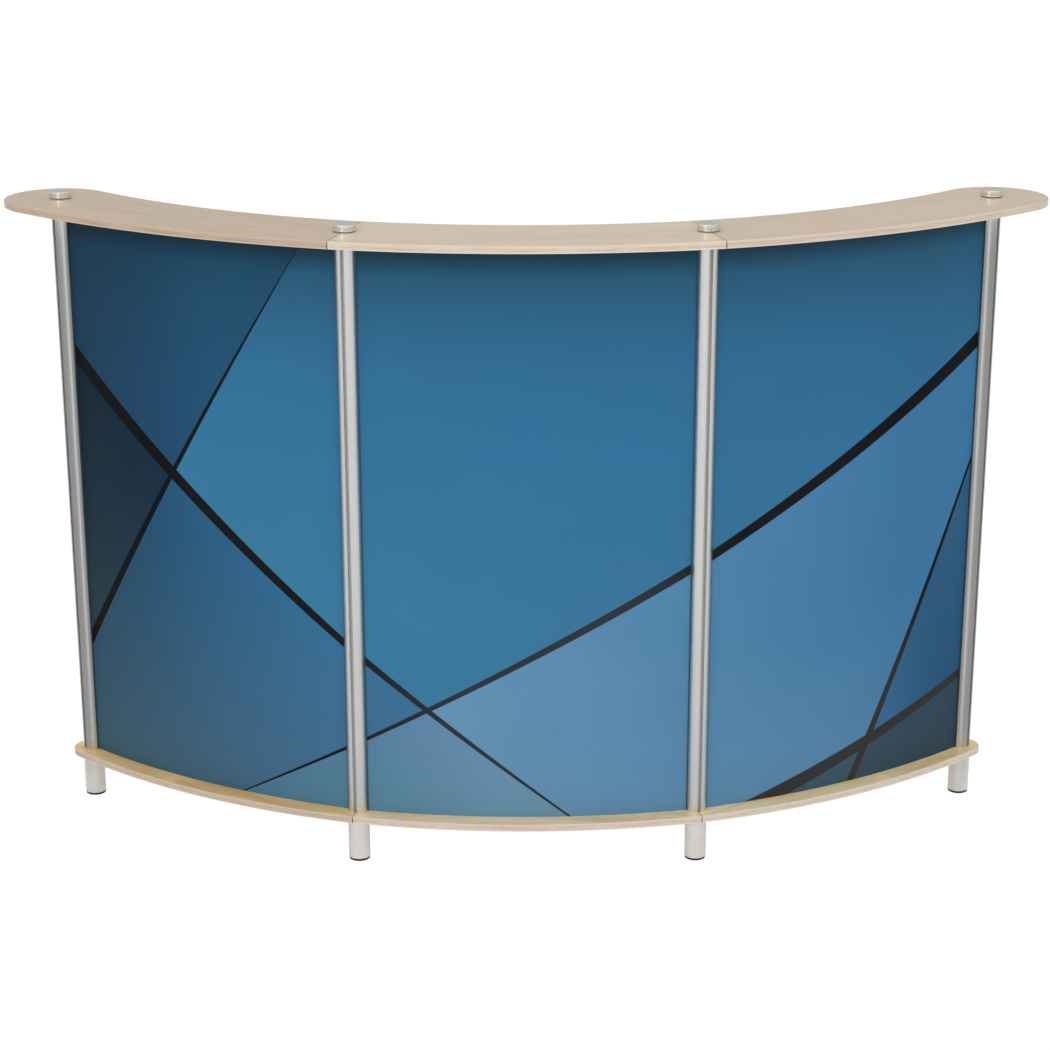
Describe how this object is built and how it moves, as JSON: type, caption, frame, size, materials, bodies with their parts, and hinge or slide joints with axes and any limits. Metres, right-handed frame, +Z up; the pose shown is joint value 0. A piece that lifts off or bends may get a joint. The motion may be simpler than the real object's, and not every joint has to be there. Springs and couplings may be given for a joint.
{
  "type": "checkout counter",
  "caption": "Curved free-standing checkout counter with plywood worktop and base rail, slotted round aluminium posts, blue curved panels, screw-on caps and levelling feet.",
  "frame": {"origin": "on the floor, at the centre of the footprint box", "axes": "+Z up; X along the counter; -Y towards the customer, out of the convex side; +Y the staff side"},
  "size_m": [1.647, 0.4739, 1.0272],
  "materials": {
    "worktop_plywood": "satin lacquered birch veneer, ply edge",
    "base_plywood": "satin lacquered birch veneer, ply edge",
    "dowel_beech": "raw beech",
    "anodised_extrusion": "satin natural anodised",
    "turned_aluminium": "turned, bright",
    "satin_foot": "satin",
    "zinc_steel": "zinc plated thread",
    "washer_nylon": "black nylon",
    "black_glide": "black moulded",
    "printed_panel": "satin laminated blue print",
    "black_trim": "black extruded PVC"
  },
  "bodies": {
    "frame": {"left_countertop": "worktop_plywood", "centre_countertop": "worktop_plywood", "right_countertop": "worktop_plywood", "left_base_rail": "base_plywood", "centre_base_rail": "base_plywood", "right_base_rail": "base_plywood", "left_panel": "printed_panel", "centre_panel": "printed_panel", "right_panel": "printed_panel", "left_panel_trims": "black_trim", "centre_panel_trims": "black_trim", "right_panel_trims": "black_trim", "countertop_dowels": "dowel_beech", "base_dowels": "dowel_beech", "outer_left_post": "anodised_extrusion", "outer_left_top_stud": "zinc_steel", "outer_left_foot": "satin_foot", "outer_left_foot_stud": "zinc_steel", "inner_left_post": "anodised_extrusion", "inner_left_top_stud": "zinc_steel", "inner_left_foot": "satin_foot", "inner_left_foot_stud": "zinc_steel", "inner_right_post": "anodised_extrusion", "inner_right_top_stud": "zinc_steel", "inner_right_foot": "satin_foot", "inner_right_foot_stud": "zinc_steel", "outer_right_post": "anodised_extrusion", "outer_right_top_stud": "zinc_steel", "outer_right_foot": "satin_foot", "outer_right_foot_stud": "zinc_steel"},
    "outer_left_cap_washer": {"outer_left_cap_washer": "washer_nylon"},
    "outer_left_cap": {"outer_left_cap": "turned_aluminium"},
    "outer_left_glide": {"outer_left_glide": "black_glide"},
    "outer_left_levelling_stud": {"outer_left_levelling_stud": "zinc_steel"},
    "inner_left_cap_washer": {"inner_left_cap_washer": "washer_nylon"},
    "inner_left_cap": {"inner_left_cap": "turned_aluminium"},
    "inner_left_glide": {"inner_left_glide": "black_glide"},
    "inner_left_levelling_stud": {"inner_left_levelling_stud": "zinc_steel"},
    "inner_right_cap_washer": {"inner_right_cap_washer": "washer_nylon"},
    "inner_right_cap": {"inner_right_cap": "turned_aluminium"},
    "inner_right_glide": {"inner_right_glide": "black_glide"},
    "inner_right_levelling_stud": {"inner_right_levelling_stud": "zinc_steel"},
    "outer_right_cap_washer": {"outer_right_cap_washer": "washer_nylon"},
    "outer_right_cap": {"outer_right_cap": "turned_aluminium"},
    "outer_right_glide": {"outer_right_glide": "black_glide"},
    "outer_right_levelling_stud": {"outer_right_levelling_stud": "zinc_steel"}
  },
  "joints": [
    {"name": "outer_left_cap_lift", "type": "slide", "parent": "frame", "child": "outer_left_cap_washer", "axis": [0, 0, 1], "range_m": [0, 0.0045]},
    {"name": "outer_left_cap_turn", "type": "hinge", "parent": "outer_left_cap_washer", "child": "outer_left_cap", "pos_m": [-0.73493, 0.15187, 1.0215], "axis": [0, 0, 1], "range_deg": [0, 1080]},
    {"name": "outer_left_glide_travel", "type": "slide", "parent": "frame", "child": "outer_left_glide", "axis": [0, 0, -1], "range_m": [0, 0.01]},
    {"name": "outer_left_levelling_turn", "type": "hinge", "parent": "outer_left_glide", "child": "outer_left_levelling_stud", "pos_m": [-0.73493, 0.15187, 0.018], "axis": [0, 0, -1], "range_deg": [0, 2880]},
    {"name": "inner_left_cap_lift", "type": "slide", "parent": "frame", "child": "inner_left_cap_washer", "axis": [0, 0, 1], "range_m": [0, 0.0045]},
    {"name": "inner_left_cap_turn", "type": "hinge", "parent": "inner_left_cap_washer", "child": "inner_left_cap", "pos_m": [-0.26987, -0.12207, 1.0215], "axis": [0, 0, 1], "range_deg": [0, 1080]},
    {"name": "inner_left_glide_travel", "type": "slide", "parent": "frame", "child": "inner_left_glide", "axis": [0, 0, -1], "range_m": [0, 0.01]},
    {"name": "inner_left_levelling_turn", "type": "hinge", "parent": "inner_left_glide", "child": "inner_left_levelling_stud", "pos_m": [-0.26987, -0.12207, 0.018], "axis": [0, 0, -1], "range_deg": [0, 2880]},
    {"name": "inner_right_cap_lift", "type": "slide", "parent": "frame", "child": "inner_right_cap_washer", "axis": [0, 0, 1], "range_m": [0, 0.0045]},
    {"name": "inner_right_cap_turn", "type": "hinge", "parent": "inner_right_cap_washer", "child": "inner_right_cap", "pos_m": [0.26987, -0.12207, 1.0215], "axis": [0, 0, 1], "range_deg": [0, 1080]},
    {"name": "inner_right_glide_travel", "type": "slide", "parent": "frame", "child": "inner_right_glide", "axis": [0, 0, -1], "range_m": [0, 0.01]},
    {"name": "inner_right_levelling_turn", "type": "hinge", "parent": "inner_right_glide", "child": "inner_right_levelling_stud", "pos_m": [0.26987, -0.12207, 0.018], "axis": [0, 0, -1], "range_deg": [0, 2880]},
    {"name": "outer_right_cap_lift", "type": "slide", "parent": "frame", "child": "outer_right_cap_washer", "axis": [0, 0, 1], "range_m": [0, 0.0045]},
    {"name": "outer_right_cap_turn", "type": "hinge", "parent": "outer_right_cap_washer", "child": "outer_right_cap", "pos_m": [0.73493, 0.15187, 1.0215], "axis": [0, 0, 1], "range_deg": [0, 1080]},
    {"name": "outer_right_glide_travel", "type": "slide", "parent": "frame", "child": "outer_right_glide", "axis": [0, 0, -1], "range_m": [0, 0.01]},
    {"name": "outer_right_levelling_turn", "type": "hinge", "parent": "outer_right_glide", "child": "outer_right_levelling_stud", "pos_m": [0.73493, 0.15187, 0.018], "axis": [0, 0, -1], "range_deg": [0, 2880]}
  ],
  "couplings": [
    {"joint": "outer_left_cap_lift", "follows": "outer_left_cap_turn", "m_per_rad": 0.00023873},
    {"joint": "outer_left_glide_travel", "follows": "outer_left_levelling_turn", "m_per_rad": 0.00019894},
    {"joint": "inner_left_cap_lift", "follows": "inner_left_cap_turn", "m_per_rad": 0.00023873},
    {"joint": "inner_left_glide_travel", "follows": "inner_left_levelling_turn", "m_per_rad": 0.00019894},
    {"joint": "inner_right_cap_lift", "follows": "inner_right_cap_turn", "m_per_rad": 0.00023873},
    {"joint": "inner_right_glide_travel", "follows": "inner_right_levelling_turn", "m_per_rad": 0.00019894},
    {"joint": "outer_right_cap_lift", "follows": "outer_right_cap_turn", "m_per_rad": 0.00023873},
    {"joint": "outer_right_glide_travel", "follows": "outer_right_levelling_turn", "m_per_rad": 0.00019894}
  ]
}
